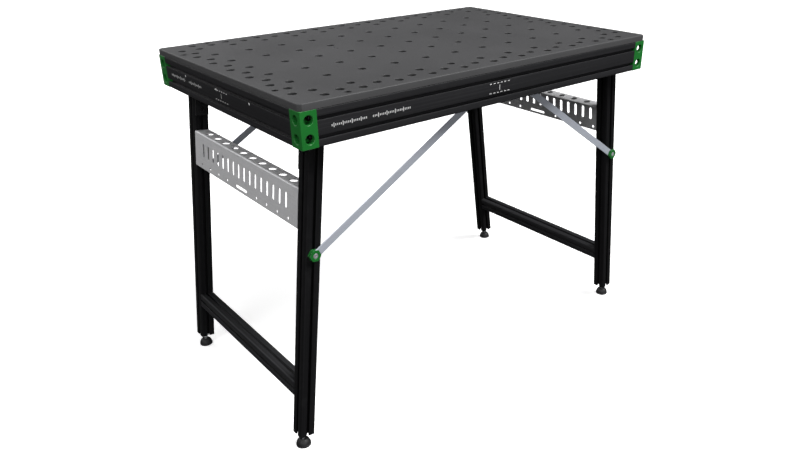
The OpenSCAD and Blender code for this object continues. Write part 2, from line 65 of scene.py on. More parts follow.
class Paint:
    """One procedural material on a Principled surface, with helpers that add its nodes."""

    def __init__(self, name, metallic=0.0, specular=0.5):
        self.material = bpy.data.materials.new(name)
        self.material.use_nodes = True
        self.tree = self.material.node_tree
        self.surface = self.tree.nodes["Principled BSDF"]
        self.surface.inputs["Metallic"].default_value = metallic
        self.surface.inputs["Specular IOR Level"].default_value = specular
        self.coords = self.add("ShaderNodeTexCoord").outputs["Object"]

    def add(self, kind, inputs=None, **settings):
        """A node with its settings, its input values and its links."""
        node = self.tree.nodes.new(kind)
        for key, value in settings.items():
            setattr(node, key, value)
        for key, value in (inputs or {}).items():
            if isinstance(value, bpy.types.NodeSocket):
                self.tree.links.new(value, node.inputs[key])
            else:
                node.inputs[key].default_value = value
        return node

    def math(self, operation, a, b=0.0, c=0.0):
        return self.add("ShaderNodeMath", {0: a, 1: b, 2: c}, operation=operation).outputs[0]

    def stretched(self, along, across, turn=(0.0, 0.0, 0.0)):
        """Coordinates whose unit is along on the turned X axis, and across on the other two."""
        return self.add(
            "ShaderNodeMapping",
            {"Vector": self.coords, "Rotation": turn, "Scale": (along, across, across)},
            vector_type="TEXTURE",
        ).outputs[0]

    def noise(self, scale, detail=4.0, vector=None, rough=0.55):
        return self.add(
            "ShaderNodeTexNoise",
            {
                "Vector": vector or self.coords, "Scale": scale,
                "Detail": detail, "Roughness": rough,
            },
        ).outputs["Fac"]

    def band(self, value, low, high, out_low=0.0, out_high=1.0):
        """value between low and high, spread smoothly from out_low to out_high."""
        return self.add(
            "ShaderNodeMapRange",
            {
                "Value": value, "From Min": low, "From Max": high,
                "To Min": out_low, "To Max": out_high,
            },
            interpolation_type="SMOOTHSTEP",
        ).outputs[0]

    def blend(self, factor, a, b):
        """Colour from a to b."""
        node = self.add("ShaderNodeMix", data_type="RGBA")
        for socket, value in zip((node.inputs[0], node.inputs[6], node.inputs[7]), (factor, a, b)):
            if isinstance(value, bpy.types.NodeSocket):
                self.tree.links.new(value, socket)
            else:
                socket.default_value = (*value, 1.0) if isinstance(value, tuple) else value
        return node.outputs[2]

    def edges(self, radius):
        """1 along sharp edges, 0 on open faces."""
        soft = self.add("ShaderNodeBevel", {"Radius": radius}, samples=4).outputs[0]
        flat = self.add("ShaderNodeNewGeometry").outputs["Normal"]
        dot = self.add("ShaderNodeVectorMath", {0: soft, 1: flat}, operation="DOT_PRODUCT")
        return self.band(dot.outputs["Value"], 0.985, 0.8)

    def finish(self, colour, roughness, height, depth):
        """Links the colour, the roughness and a bump of that depth in metres."""
        bump = self.add("ShaderNodeBump", {"Height": height, "Distance": depth, "Strength": 1.0})
        links = {"Base Color": colour, "Roughness": roughness, "Normal": bump.outputs[0]}
        for key, value in links.items():
            self.tree.links.new(value, self.surface.inputs[key])
        return self.material

    def over(self, mask, share, under, colour):
        """colour over the one under it, where the mask is 1 by that share."""
        return self.blend(self.math("MULTIPLY", mask, share), under, colour)


def scaled(colour, factor):
    return tuple(min(1.0, c * factor) for c in colour)


# Name of the panel's point attribute that is 1 on drilled walls, where painted shade darkens the
# board
BORE_SHADE = "bore_shade"


def panel_finish():
    """Through-dyed board under a matt seal: pressed fibres, pale flecks, faint handling marks,
    painted shade in the drilled holes.
    """
    p = Paint("panel", specular=0.35)
    base = (0.073, 0.073, 0.0753)
    clouds = p.noise(5.0, 6.0)
    fibres = p.noise(1.0, 5.0, p.stretched(0.0022, 0.0011, (0.0, 0.0, 0.6)), 0.7)
    flecks = p.band(p.noise(900.0, 2.0), 0.66, 0.74)
    marks = p.band(p.noise(1.0, 3.0, p.stretched(0.12, 0.0016, (0.0, 0.0, 0.35))), 0.66, 0.72)
    colour = p.blend(clouds, scaled(base, 0.86), scaled(base, 1.14))
    colour = p.over(fibres, 0.5, colour, scaled(base, 0.6))
    colour = p.over(flecks, 0.4, colour, scaled(base, 2.4))
    colour = p.over(marks, 0.12, colour, scaled(base, 2.0))
    colour = p.over(p.edges(0.0012), 0.1, colour, scaled(base, 1.9))
    bore_shade = p.add("ShaderNodeAttribute", attribute_name=BORE_SHADE).outputs["Fac"]
    # Painted shade: the drilled walls are darkened to stand in for the shade inside the holes
    colour = p.over(bore_shade, 0.75, colour, scaled(base, 0.22))
    rough = p.band(p.math("ADD", clouds, p.math("MULTIPLY", marks, -0.3)), 0.2, 0.9, 0.52, 0.7)
    return p.finish(colour, rough, p.math("ADD", fibres, p.math("MULTIPLY", marks, -0.4)), 0.00006)


def extrusion_finish(name, turn, base, marks=None):
    """Black anodised extrusion: die lines and streaks along its length, dust, worn arrises."""
    p = Paint(name, specular=0.12)
    lines = p.noise(1.0, 3.0, p.stretched(0.35, 0.0009, turn), 0.6)
    broad = p.noise(1.0, 2.0, p.stretched(0.6, 0.012, turn))
    dust = p.band(p.noise(24.0, 8.0, rough=0.7), 0.5, 0.78)
    streaks = p.band(p.noise(1.0, 2.0, p.stretched(0.9, 0.005, turn)), 0.5, 0.68)
    wear = p.math("MULTIPLY", p.edges(0.0008), p.band(p.noise(55.0, 5.0), 0.42, 0.66))
    colour = p.blend(lines, scaled(base, 0.6), scaled(base, 1.6))
    colour = p.over(streaks, 0.35, colour, scaled(base, 2.2))
    colour = p.over(dust, 0.1, colour, (0.06, 0.06, 0.063))
    colour = p.over(wear, 0.5, colour, (0.2, 0.2, 0.21))
    if marks:
        colour = p.over(marks(p), 0.92, colour, (0.85, 0.85, 0.85))
    rough = p.band(p.math("ADD", broad, p.math("MULTIPLY", lines, 0.5)), 0.4, 1.1, 0.34, 0.52)
    return p.finish(colour, rough, lines, 0.00003)


def coat_finish(name, base, metallic, specular, worn, low, high):
    """Satin coat over metal: orange peel, soft colour drift, and bright metal at worn edges."""
    p = Paint(name, metallic=metallic, specular=specular)
    peel = p.noise(750.0, 2.0)
    drift = p.noise(18.0, 5.0)
    colour = p.blend(drift, scaled(base, 0.8), scaled(base, 1.2))
    wear = p.math("MULTIPLY", p.edges(0.0008), p.band(p.noise(90.0, 5.0), 0.4, 0.62))
    colour = p.over(wear, 0.6, colour, worn)
    rough = p.band(drift, 0.25, 0.75, low, high)
    return p.finish(colour, rough, peel, 0.00003)


def metal_finish(name, base, metallic, turn, along, low, high):
    """Bare or plated metal: a drawn grain along the turned X axis, stains and small pits."""
    p = Paint(name, metallic=metallic)
    grain = p.noise(1.0, 4.0, p.stretched(along, 0.0006, turn), 0.65)
    stains = p.noise(14.0, 6.0)
    colour = p.blend(grain, scaled(base, 0.72), scaled(base, 1.22))
    colour = p.over(p.band(stains, 0.45, 0.8), 0.25, colour, scaled(base, 0.55))
    pits = p.band(p.noise(420.0, 3.0), 0.5, 0.7)
    colour = p.over(pits, 0.3, colour, scaled(base, 0.62))
    colour = p.over(p.edges(0.0006), 0.4, colour, scaled(base, 1.7))
    rough = p.band(p.math("ADD", grain, stains), 0.6, 1.4, low, high)
    return p.finish(colour, rough, grain, 0.000012)


def moulded_finish(name, base, low, high, grain):
    """Moulded nylon or rubber with a fine spark-eroded grain and a little floor dust."""
    p = Paint(name, specular=0.4)
    fine = p.noise(grain, 3.0)
    dust = p.band(p.noise(60.0, 6.0), 0.5, 0.8)
    colour = p.blend(fine, scaled(base, 0.75), scaled(base, 1.3))
    colour = p.over(dust, 0.3, colour, scaled(base, 2.6))
    colour = p.over(p.edges(0.0006), 0.3, colour, scaled(base, 2.2))
    return p.finish(colour, p.band(fine, 0.3, 0.7, low, high), fine, 0.00004)


# Printing on the rails: height of its middle, then sizes, all in metres but the dashes' half
# share of their pitch
MARK_Z = 0.834
LINE_W = 0.0018
TICK_PITCH, TICK_HALF, LONG_TICK = 0.0045, 0.0022, 0.0026
DASH_PITCH, DASH_UP, DASH_REACH, DASH_SHARE = 0.012, 0.0115, 0.036, 0.27
STROKE_HALF = 0.006
DOT_R, DOT_UP = 0.0028, 0.0122
INK_DEPTH = 0.0004


def tick_marks(p, along, outward, face, scales, centre, dots=()):
    """Generic white graduations on a rail's outer face, as on a rule, a dashed mark and dots."""
    xyz = p.add("ShaderNodeSeparateXYZ", {0: p.coords}).outputs
    place, height = xyz[along], p.math("SUBTRACT", xyz["Z"], MARK_Z)

    def product(*factors):
        out = factors[0]
        for factor in factors[1:]:
            out = p.math("MULTIPLY", out, factor)
        return out

    def repeated(value, pitch):
        """1 on a line in the middle of each pitch."""
        share = p.math("FRACT", p.math("DIVIDE", value, pitch))
        return p.math("COMPARE", share, 0.5, LINE_W / 2 / pitch)

    away = p.math("ABSOLUTE", height)
    longer = p.math("MULTIPLY", repeated(place, 5 * TICK_PITCH), LONG_TICK)
    reach = p.math("ADD", TICK_HALF, longer)
    ticks = product(repeated(place, TICK_PITCH), p.math("LESS_THAN", away, reach))
    off = p.math("ABSOLUTE", p.math("SUBTRACT", place, centre))
    along_dash = p.math("FRACT", p.math("DIVIDE", off, DASH_PITCH))
    dashes = p.math("COMPARE", along_dash, 0.5, DASH_SHARE)
    rows = p.math("COMPARE", away, DASH_UP, LINE_W / 2)
    dashed = product(dashes, rows, p.math("LESS_THAN", off, DASH_REACH))
    stroke = product(
        p.math("COMPARE", place, centre, LINE_W / 2), p.math("COMPARE", away, 0.0, STROKE_HALF)
    )
    total = p.math("MAXIMUM", dashed, stroke)
    for start, end in scales:
        zone = p.math("COMPARE", place, (start + end) / 2, (end - start) / 2)
        total = p.math("MAXIMUM", total, product(ticks, zone))
    for spot in dots:
        aside = p.math("POWER", p.math("SUBTRACT", place, spot), 2.0)
        above = p.math("POWER", p.math("SUBTRACT", height, DOT_UP), 2.0)
        dot = p.math("LESS_THAN", p.math("ADD", aside, above), DOT_R ** 2)
        total = p.math("MAXIMUM", total, dot)
    return product(total, p.math("COMPARE", xyz[outward], face, INK_DEPTH))


def front_marks(p):
    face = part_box("front_rail")[0].y
    return tick_marks(p, "X", "Y", face, [(-0.490, -0.401), (-0.386, -0.283)], -0.010)


def left_marks(p):
    face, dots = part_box("left_rail")[0].x, (0.2, 0.02, -0.15)
    return tick_marks(p, "Y", "X", face, [(0.209, 0.298), (0.109, 0.185)], -0.005, dots)


ALONG_X, ALONG_Y = (0.0, 0.0, 0.0), (0.0, 0.0, math.pi / 2)
ALONG_LEG = {name: (0.0, math.pi / 2 - side * SPLAY, 0.0) for name, side in SIDES.items()}
GREEN = (0.014, 0.178, 0.028)
RAIL_BLACK = (0.019, 0.019, 0.0205)
LEG_BLACK = (0.0074, 0.0074, 0.008)
DARK_GREY, BRIGHT_GREY = (0.25, 0.25, 0.25), (0.55, 0.56, 0.58)
PALE_GREEN, BOSS_WEAR = (0.4, 0.45, 0.4), (0.45, 0.5, 0.45)
# Coats: colour, metallic, specular, worn colour, roughness. Metals: colour, metallic, direction
# and length of the grain, roughness. Moulded parts: colour, roughness, scale of the grain.
finishes = {
    "panel": panel_finish(),
    "rail_x": extrusion_finish("rail_x", ALONG_X, RAIL_BLACK, front_marks),
    "rail_y": extrusion_finish("rail_y", ALONG_Y, RAIL_BLACK, left_marks),
    "left_leg": extrusion_finish("left_leg", ALONG_LEG["left"], LEG_BLACK),
    "right_leg": extrusion_finish("right_leg", ALONG_LEG["right"], LEG_BLACK),
}
for kind, make, *look in (
    ("corner", coat_finish, GREEN, 0.0, 0.3, PALE_GREEN, 0.34, 0.46),
    ("green_boss", coat_finish, GREEN, 0.2, 0.3, BOSS_WEAR, 0.28, 0.38),
    ("black_steel", coat_finish, (0.015, 0.015, 0.016), 0.0, 0.2, DARK_GREY, 0.4, 0.55),
    ("black_fastener", metal_finish, (0.03, 0.03, 0.032), 0.8, ALONG_X, 0.004, 0.3, 0.5),
    ("bright_fastener", metal_finish, BRIGHT_GREY, 0.6, ALONG_X, 0.004, 0.24, 0.4),
    ("channel_sheet", metal_finish, (0.84, 0.84, 0.88), 0.25, ALONG_Y, 0.07, 0.4, 0.55),
    ("brace_bar", metal_finish, (0.52, 0.55, 0.62), 0.2, ALONG_X, 0.06, 0.4, 0.52),
    ("foot_base", moulded_finish, (0.0125, 0.0125, 0.0135), 0.45, 0.65, 1400.0),
    ("rubber", moulded_finish, (0.015, 0.015, 0.015), 0.7, 0.9, 900.0),
):
    finishes[kind] = make(kind, *look)


def finish_for(node):
    """The finish of a CAD node: extrusions have one for each direction."""
    if node in ("front_rail", "back_rail"):
        return finishes["rail_x"]
    if node in ("left_rail", "right_rail") or node.endswith("cross_rail"):
        return finishes["rail_y"]
    if node.endswith("_leg"):
        return finishes[f"{node.split('_')[0]}_leg"]
    return finishes[slot_of[node]]


# ---------- mesh helpers ----------

TURN = 2 * math.pi
SHARP = 28.0


def link(name, bm, finish, sharp=SHARP):
    """The object made of bm, smooth but for edges sharper than that angle."""
    bmesh.ops.recalc_face_normals(bm, faces=bm.faces)
    mesh = bpy.data.meshes.new(name)
    bm.to_mesh(mesh)
    bm.free()
    mesh.materials.append(finish)
    obj = bpy.data.objects.new(name, mesh)
    bpy.context.scene.collection.objects.link(obj)
    crisp(obj, sharp)
    return obj


def crisp(obj, sharp):
    obj.data.shade_smooth()
    obj.data.set_sharp_from_angle(angle=math.radians(sharp))


def stand_for(obj, node):
    """obj takes a CAD node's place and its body."""
    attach(obj, body_of[node])
    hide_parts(node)


def carve(obj, *steps):
    """Applies exact booleans to obj, one for each (operation, bmesh) step."""
    tools = []
    for operation, bm in steps:
        tool = link(f"{obj.name}_tool", bm, obj.data.materials[0])
        cut = obj.modifiers.new(operation, "BOOLEAN")
        cut.operation, cut.solver, cut.object = operation, "EXACT", tool
        tools.append(tool)
    bpy.context.view_layer.update()
    evaluated = obj.evaluated_get(bpy.context.evaluated_depsgraph_get())
    shaped = bpy.data.meshes.new_from_object(evaluated)
    obj.modifiers.clear()
    obj.data = shaped
    for tool in tools:
        bpy.data.objects.remove(tool)
    crisp(obj, SHARP)


def circle(radius, height=0.0):
    """A ring for loft: its radius and height at each angle."""
    return lambda angle: (radius, height)


def hexagon(radius, height, chamfer=None, rise=0.0):
    """A six-sided ring: beyond the chamfer radius its corners are cut back, or rise by a slope."""

    def ring(angle):
        r = radius * math.cos(math.pi / 6) / math.cos(angle % (math.pi / 3) - math.pi / 6)
        if chamfer is None:
            return r, height
        if not rise:
            return min(r, chamfer), height
        return r, height + rise * max(0.0, r - chamfer)

    return ring


def knurl(radius, height, teeth=36, depth=0.3 * MM):
    """A round ring with rounded teeth, as on the head of a cap screw."""
    return lambda angle: (radius - depth * (0.5 - 0.5 * math.cos(teeth * angle)), height)


def loft(bm, matrix, rings, steps=72, closed=False):
    """A skin over rings. A closed one joins its last ring to its first, the others are capped."""
    rows = []
    for ring in rings:
        rows.append([])
        for i in range(steps):
            angle = TURN * i / steps
            r, height = ring(angle)
            place = Vector((r * math.cos(angle), r * math.sin(angle), height))
            rows[-1].append(bm.verts.new(matrix @ place))
    for low, high in zip(rows, rows[1:] + (rows[:1] if closed else [])):
        for i in range(steps):
            bm.faces.new((low[i - 1], low[i], high[i], high[i - 1]))
    if not closed:
        bm.faces.new(rows[0])
        bm.faces.new(rows[-1])


def lathe(points):
    """Rings from (radius, height) pairs in millimetres."""
    return [circle(r * MM, z * MM) for r, z in points]


def arc(centre, radius, start, end, steps):
    for i in range(steps + 1):
        a = start + (end - start) * i / steps
        yield Vector((centre[0] + radius * math.cos(a), centre[1] + radius * math.sin(a)))


def ring_points(x, y, radius, steps=48):
    return list(arc((x, y), radius, 0.0, TURN * (1 - 1 / steps), steps - 1))


def rounded(corners, steps=4):
    """Closed outline through (x, y, radius) corners, each turned by an arc."""
    out = []
    for i, (x, y, r) in enumerate(corners):
        here = Vector((x, y))
        back = (Vector(corners[i - 1][:2]) - here).normalized()
        onward = (Vector(corners[(i + 1) % len(corners)][:2]) - here).normalized()
        half = back.angle(onward) / 2
        centre = here + (back + onward).normalized() * (r / math.sin(half))
        first = here + back * (r / math.tan(half)) - centre
        last = here + onward * (r / math.tan(half)) - centre
        start = math.atan2(first.y, first.x)
        sweep = math.atan2(first.x * last.y - first.y * last.x, first.dot(last))
        out += arc(centre, r, start, start + sweep, steps)
    return out


def grown(points, amount):
    """A closed anticlockwise outline moved outwards."""
    out = []
    for i, here in enumerate(points):
        a, b = here - points[i - 1], points[(i + 1) % len(points)] - here
        a, b = Vector((a.y, -a.x)).normalized(), Vector((b.y, -b.x)).normalized()
        mitre = (a + b).normalized()
        out.append(here + mitre * (amount / max(0.4, mitre.dot(a))))
    return out


def plate(bm, matrix, loops):
    """A solid between two flat faces. Each loop is an outline and its (growth, height) rows."""
    rims = ([], [])
    for points, rows in loops:
        rings = []
        for growth, height in rows:
            outline = grown(points, growth) if growth else points
            rings.append([bm.verts.new(matrix @ Vector((p.x, p.y, height))) for p in outline])
        for low, high in zip(rings, rings[1:]):
            for i in range(len(low)):
                bm.faces.new((low[i - 1], low[i], high[i], high[i - 1]))
        for rim, ring in zip(rims, (rings[0], rings[-1])):
            rim += [bm.edges.get((ring[i - 1], ring[i])) for i in range(len(ring))]
    for rim in rims:
        bmesh.ops.triangle_fill(bm, use_beauty=True, edges=rim)


def rim_rows(thick, edge, outer=True):
    """Rows of a loop whose two rims have a small chamfer."""
    inset = -edge if outer else edge
    return [(inset, 0.0), (0.0, edge), (0.0, thick - edge), (inset, thick)]


def axes(origin, x, y, z):
    """Matrix whose columns are three directions and an origin."""
    m = Matrix((x, y, z)).transposed().to_4x4()
    m.translation = Vector(origin)
    return m


def spin(degrees, axis):
    return Matrix.Rotation(math.radians(degrees), 4, axis)


def shifted(x, y, z):
    return Matrix.Translation((x, y, z))


def lean(side):
    """The turn from upright to the splay of that side's legs."""
    return Matrix.Rotation(-SIDES[side] * SPLAY, 4, "Y")


def leg_space(side):
    """Space of a leg frame: the pivot is the origin and the leg hangs along -Z."""
    return Matrix.Translation(joint[f"{side}_leg_fold"]["pos_m"]) @ lean(side)


def boss_space(side, end):
    """Space of a brace's turn on its leg, with +Z out of the leg frame."""
    x, _, z = joint[f"{side}_{end}_brace_turn"]["pos_m"]
    return shifted(x, 0, z) @ lean(side) @ spin(-90 * ENDS[end], "X")


# ---------- panel ----------

PANEL_LOW, PANEL_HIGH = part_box("top_panel")
GRID = next(m["dims"] for m in record["mounts"] if m["kind"] == "bolt_pattern")
COLS, ROWS = 11, 7
PITCH = GRID["spacing_x_mm"] * MM / (COLS - 1)
DOG_R = GRID["hole_r_mm"] * MM
CORNER_CUT, CORNER_R, NOSE_R, BASE_EDGE = (v * MM for v in (8, 2, 2.5, 0.6))
DOG_EDGE, INSERT_EDGE = 0.9 * MM, 0.4 * MM
INSERT_R = 2.5 * MM
INSERTS = [(200, 50), (200, 66), (78, -34)]
SCREW_R, SCREW_FLARE = 4.2 * MM, 4.2 * MM


def dog_places():
    """The grid, and round it an edge row and a staggered row on each side."""
    x, y = (COLS - 1) / 2, (ROWS - 1) / 2
    places = [(c - x, r - y) for c in range(COLS) for r in range(ROWS)]
    for s in (-1, 1):
        places += [(c - x, s * (y + 1 / 2)) for c in range(COLS)]
        places += [(c + 0.5 - x, s * (y + 1 / 3)) for c in range(COLS - 1)]
        places += [(s * (x + 1 / 2), r - y) for r in range(ROWS)]
        places += [(s * (x + 1 / 3), r + 0.5 - y) for r in range(ROWS - 1)]
    return [(px * PITCH, py * PITCH) for px, py in places]


def screw_places():
    """Panel screws, over the middle of each rail."""
    x_long, y_short = (COLS / 2 - 1) * PITCH, (ROWS / 2 - 1) * PITCH
    rail_y, rail_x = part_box("back_rail"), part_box("right_rail")
    mid_y, mid_x = (rail_y[0].y + rail_y[1].y) / 2, (rail_x[0].x + rail_x[1].x) / 2
    for s in (-1, 1):
        for t in (-1, 1):
            yield s * x_long, t * mid_y
            yield s * mid_x, t * y_short


def build_panel():
    thick = PANEL_HIGH.z - PANEL_LOW.z
    hx, hy, cut = PANEL_HIGH.x, PANEL_HIGH.y, CORNER_CUT
    corners = (
        (hx - cut, -hy), (hx, -hy + cut), (hx, hy - cut), (hx - cut, hy),
        (-hx + cut, hy), (-hx, hy - cut), (-hx, -hy + cut), (-hx + cut, -hy),
    )
    rows = [(-BASE_EDGE, 0.0), (0.0, BASE_EDGE)]
    for step in range(5):
        a = math.pi / 2 * step / 4
        rows.append((-NOSE_R * (1 - math.cos(a)), thick - NOSE_R * (1 - math.sin(a))))
    loops = [(rounded([(x, y, CORNER_R) for x, y in corners]), rows)]
    for x, y in dog_places():
        loops.append((ring_points(x, y, DOG_R), rim_rows(thick, DOG_EDGE, outer=False)))
    for x, y in screw_places():
        rows = [(0.0, 0.0), (0.0, thick - SCREW_FLARE), (SCREW_FLARE, thick)]
        loops.append((ring_points(x, y, SCREW_R, 32), rows))
    for x, y in INSERTS:
        for s in (-1, 1):
            points = ring_points(s * x * MM, y * MM, INSERT_R, 24)
            loops.append((points, rim_rows(thick, INSERT_EDGE, outer=False)))
    bm = bmesh.new()
    plate(bm, shifted(0, 0, PANEL_LOW.z), loops)
    # Drilled walls get painted shade, darkened as if shadowed inside the holes: the finish reads
    # this from their points
    bore_shade = bm.verts.layers.float.new(BORE_SHADE)
    skin, border = 0.1 * MM, 12 * MM
    for vert in bm.verts:
        drilled = abs(vert.co.x) < hx - border and abs(vert.co.y) < hy - border
        within = PANEL_LOW.z + skin < vert.co.z < PANEL_HIGH.z - skin
        vert[bore_shade] = float(drilled and within)
    stand_for(link("perforated_panel", bm, finishes["panel"]), "top_panel")


# ---------- extrusions ----------

UNIT = 40 * MM
# Half widths of the slot's mouth, cavity and floor, and the depths where they change
MOUTH, CAVITY, FLOOR_W, LIP, WALL, DEPTH = (v * MM for v in (4.1, 10, 5, 4.5, 7, 12))
ARRIS_R, CORE_R, CELL, CELL_AT, CHAMBER_R = (v * MM for v in (3, 3.4, 3.25, 14.6, 1.2))
CHAMBER = (6.5 * MM, 10 * MM)


def slot_corners(at):
    """Corners of one T-slot: place along the face, depth below it, and rounding."""
    # Rounding is in millimetres here
    half = [
        (MOUTH, 0.0, 0.9), (MOUTH, LIP, 0.35), (CAVITY, LIP, 0.5), (CAVITY, WALL, 0.8),
        (FLOOR_W, DEPTH, 0.8),
    ]
    for s, depth, r in half:
        yield at - s, depth, r * MM
    for s, depth, r in reversed(half):
        yield at + s, depth, r * MM


def square(x, y, half_w, half_h, r):
    return rounded([
        (x - half_w, y - half_h, r), (x + half_w, y - half_h, r),
        (x + half_w, y + half_h, r), (x - half_w, y + half_h, r),
    ])


def section(count):
    """Outline and hollows of a profile one unit wide and count units high."""
    half_h = count * UNIT / 2
    middles = [(i + 0.5) * UNIT - half_h for i in range(count)]
    corners = []
    for c, s in ((1, 0), (0, 1), (-1, 0), (0, -1)):
        upright = s == 0
        out, reach = (UNIT / 2, half_h) if upright else (half_h, UNIT / 2)
        face = [(-reach, 0.0, ARRIS_R)]
        for at in middles if upright else [0.0]:
            face += slot_corners(at)
        for place, depth, r in face:
            far = out - depth
            corners.append((c * far - s * place, s * far + c * place, r))
    hollows = [ring_points(0.0, m, CORE_R, 32) for m in middles]
    for sx in (-1, 1):
        for sy in (-1, 1):
            y = sy * (half_h - UNIT / 2 + CELL_AT)
            hollows.append(square(sx * CELL_AT, y, CELL, CELL, MM))
    if count > 1:
        hollows.append(square(0.0, 0.0, *CHAMBER, CHAMBER_R))
    return rounded(corners), hollows


SECTIONS = {count: section(count) for count in (1, 2)}
END_EDGE = 0.3 * MM


def build_extrusion(node, count, matrix, length):
    """A profile centred in matrix's space, along its Z axis."""
    outline, hollows = SECTIONS[count]
    loops = [(outline, rim_rows(length, END_EDGE))]
    loops += [(hollow, [(0.0, 0.0), (0.0, length)]) for hollow in hollows]
    bm = bmesh.new()
    plate(bm, matrix @ shifted(0, 0, -length / 2), loops)
    obj = link(f"{node}_extrusion", bm, finish_for(node))
    stand_for(obj, node)
    return obj


def build_rails():
    for node in ("front_rail", "back_rail"):
        low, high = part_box(node)
        matrix = Matrix.Translation((low + high) / 2) @ spin(90, "Z") @ spin(90, "X")
        build_extrusion(node, 2, matrix, high.x - low.x)
    for node in ("left_rail", "right_rail"):
        low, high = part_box(node)
        matrix = Matrix.Translation((low + high) / 2) @ spin(90, "X")
        build_extrusion(node, 2, matrix, high.y - low.y)


LEG_END_Z, CROSS_Z = 36 * MM, 161 * MM
# Bores in a leg, as (radius, height) pairs in millimetres: for the stud, and the cross rail's bolt
STUD_BORE = [(5.25, -2), (5.25, 85)]
BOLT_BORE = [(3.4, 4), (3.4, 21)]


def build_legs():
    for side in SIDES:
        tilt = lean(side)
        low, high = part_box(f"{side}_cross_rail")
        matrix = Matrix.Translation((low + high) / 2) @ tilt @ spin(90, "X")
        build_extrusion(f"{side}_cross_rail", 1, matrix, high.y - low.y)
        pivot_z = joint[f"{side}_leg_fold"]["pos_m"][2]
        for end, e in ENDS.items():
            node = f"{side}_{end}_leg"
            low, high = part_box(node)
            length = (high.z - low.z - UNIT * math.sin(SPLAY)) / math.cos(SPLAY)
            matrix = Matrix.Translation((low + high) / 2) @ tilt
            leg = build_extrusion(node, 1, matrix, length)
            bores = bmesh.new()
            loft(bores, matrix @ shifted(0, 0, -length / 2), lathe(STUD_BORE), 32)
            down = (pivot_z - CROSS_Z) / math.cos(SPLAY)
            across = leg_space(side) @ shifted(0, (low.y + high.y) / 2, -down)
            loft(bores, across @ spin(-90 * e, "X"), lathe(BOLT_BORE), 32)
            carve(leg, ("DIFFERENCE", bores))


# ---------- corner blocks and their bolts ----------

# Stepped bore from a block's middle to its face, as (radius, height) pairs in millimetres
SEAT = -15
ACCESS = [(4.3, -25), (4.3, SEAT), (10.5, SEAT), (10.5, 19.0), (12.5, 21.0)]
BORE_LEVELS = (0.25, 0.75)
OUTER_R, INNER_R, BLOCK_EDGE = (v * MM for v in (2.0, 0.4, 0.5))
# Head, shank and key of the screw in each bore
BLOCK_SCREW = (6.2, 8), (4.0, 31), (3.4, 4.5)


def socket_screw(bm, matrix, head, shank, key):
    """Cap screw in millimetres: head and shank are (radius, length), key is (radius, depth)."""
    (head_r, head_h), (shank_r, shank_l), (key_r, key_depth) = head, shank, key
    rings = lathe([
        (shank_r - 0.8, -shank_l), (shank_r, -shank_l + 0.8), (shank_r, 0), (head_r - 0.4, 0)
    ])
    rings += [knurl(head_r * MM, z * MM) for z in (0.4, head_h - 1.0)]
    rings += lathe([(head_r - 0.3, head_h - 0.5), (head_r - 0.9, head_h), (key_r + 0.5, head_h)])
    rings += [hexagon(key_r * MM, z * MM) for z in (head_h - 0.4, head_h - key_depth)]
    loft(bm, matrix, rings)


def outward_spins(s, e):
    """Turns that take +Z to a corner's two outward directions."""
    return spin(90 * s, "Y"), spin(-90 * e, "X")


def build_corners():
    bolts = bmesh.new()
    for side, s in SIDES.items():
        for end, e in ENDS.items():
            node = f"{end}_{side}_corner"
            low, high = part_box(node)
            middle, half, tall = (low + high) / 2, UNIT / 2, high.z - low.z
            outline = rounded([
                (sx * half, sy * half, OUTER_R if (sx, sy) == (s, e) else INNER_R)
                for sx, sy in ((-1, -1), (1, -1), (1, 1), (-1, 1))
            ])
            bm = bmesh.new()
            loops = [(outline, rim_rows(tall, BLOCK_EDGE))]
            plate(bm, shifted(middle.x, middle.y, low.z), loops)
            block = link(f"{node}_block", bm, finishes["corner"])
            steps = []
            for turn in outward_spins(s, e):
                tool = bmesh.new()
                for level in BORE_LEVELS:
                    at = shifted(middle.x, middle.y, low.z + level * tall) @ turn
                    loft(tool, at, lathe(ACCESS), 64)
                    socket_screw(bolts, at @ shifted(0, 0, SEAT * MM), *BLOCK_SCREW)
                steps.append(("DIFFERENCE", tool))
            carve(block, *steps)
            stand_for(block, node)
    stand_for(link("corner_cap_screws", bolts, finishes["black_fastener"]), "corner_bolts")


# ---------- tool channels ----------

CHANNEL_Z, CHANNEL_H, SHEET = (v * MM for v in (677, 96, 2))
BEND_R, SHEET_R, SHEET_EDGE, TAB_AT, TAB_R = (v * MM for v in (2, 0.3, 0.15, 0.5, 1.5))
TAB_W, TAB_H, TAB_DOWN = (v * MM for v in (34, 70, 14))
# Distances below the shelf, then (radius, height) pairs, all in millimetres
TAB_BOLTS = (30, 68)
TAB_BORE = [(4.2, -1), (4.2, 3)]
SHELF_BORE = [(10, -3), (10, 1)]
SHELF_HOLES, SHELF_PITCH = 10, 50 * MM
# Cut-outs of the web: vents, small round holes each side of the middle, and a long slot
VENTS, VENT_PITCH, VENT_UP, VENT_W, VENT_H = 16, *(v * MM for v in (30, 52, 10, 38))
WEB_HOLES, WEB_FROM, WEB_PITCH, WEB_HOLE_R = 4, *(v * MM for v in (80, 52, 4))
LONG_W, LONG_H, LOW_ROW = (v * MM for v in (62, 8, 11))


def pill(x, y, w, h):
    """Outline of a slot with round ends, w wide and h high."""
    r = min(w, h) / 2
    dx, dy = w / 2 - r, h / 2 - r
    start = 0.0 if h > w else -math.pi / 2
    points = list(arc((x + dx, y + dy), r, start, start + math.pi, 8))
    return points + list(arc((x - dx, y - dy), r, start + math.pi, start + TURN, 8))


